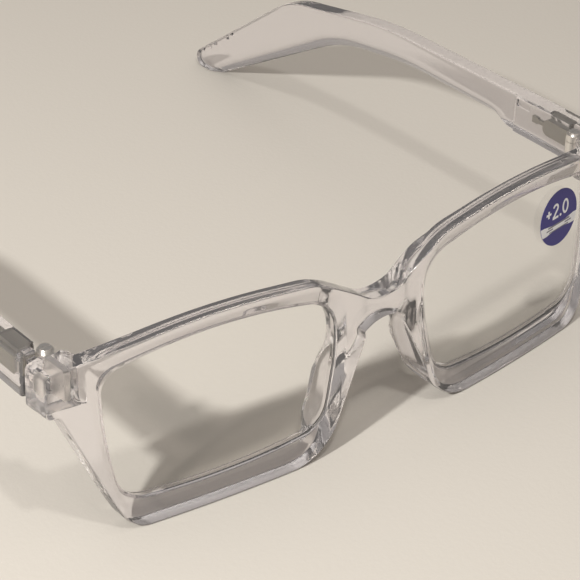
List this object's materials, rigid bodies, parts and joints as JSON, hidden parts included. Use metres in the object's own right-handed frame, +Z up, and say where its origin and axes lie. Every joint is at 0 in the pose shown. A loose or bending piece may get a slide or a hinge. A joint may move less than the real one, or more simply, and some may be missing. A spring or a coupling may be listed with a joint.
{
  "type": "eyeglasses",
  "caption": "Clear plastic rectangular reading glasses with moulded nose pads, sprung metal hinges set into the plastic and curved temples, standing open",
  "frame": {"origin": "Middle of the glasses' footprint on the table, at table height, with both temples open.", "axes": "+Z up. The front faces -Y and the temples run to +Y. +X is the wearer's left."},
  "size_m": [0.1424, 0.1428, 0.0394],
  "materials": {
    "frame_plastic": "clear polished plastic with a faint pink-lavender tint",
    "lens": "clear polished lens",
    "label": "printed gloss label",
    "hinge_metal": "satin grey metal",
    "housing_metal": "satin gunmetal",
    "spring_metal": "drawn steel wire",
    "screw_metal": "turned steel"
  },
  "bodies": {
    "front": {"front_frame": "frame_plastic", "right_lens": "lens", "left_lens": "lens", "lens_label": "label", "right_front_hinge": "hinge_metal", "left_front_hinge": "hinge_metal", "right_hinge_screw": "screw_metal", "left_hinge_screw": "screw_metal"},
    "right_slider": {"right_hinge_slider": "hinge_metal", "right_spring_retainer": "spring_metal"},
    "left_slider": {"left_hinge_slider": "hinge_metal", "left_spring_retainer": "spring_metal"},
    "right_arm": {"right_temple": "frame_plastic", "right_hinge_housing": "housing_metal", "right_hinge_spring": "spring_metal"},
    "left_arm": {"left_temple": "frame_plastic", "left_hinge_housing": "housing_metal", "left_hinge_spring": "spring_metal"}
  },
  "joints": [
    {"name": "right_fold", "type": "hinge", "parent": "front", "child": "right_slider", "pos_m": [-0.0656, -0.05324, 0.033], "axis": [0, 0, -1], "range_deg": [-8, 80]},
    {"name": "left_fold", "type": "hinge", "parent": "front", "child": "left_slider", "pos_m": [0.0656, -0.05324, 0.033], "axis": [0, 0, 1], "range_deg": [-8, 90]},
    {"name": "right_flex", "type": "slide", "parent": "right_slider", "child": "right_arm", "axis": [0, 1, 0], "range_m": [0, 0.0008], "stiffness_N_per_m": 1500, "springref_m": -0.002, "deforming": ["right_hinge_spring"]},
    {"name": "left_flex", "type": "slide", "parent": "left_slider", "child": "left_arm", "axis": [0, 1, 0], "range_m": [0, 0.0008], "stiffness_N_per_m": 1500, "springref_m": -0.002, "deforming": ["left_hinge_spring"]}
  ]
}
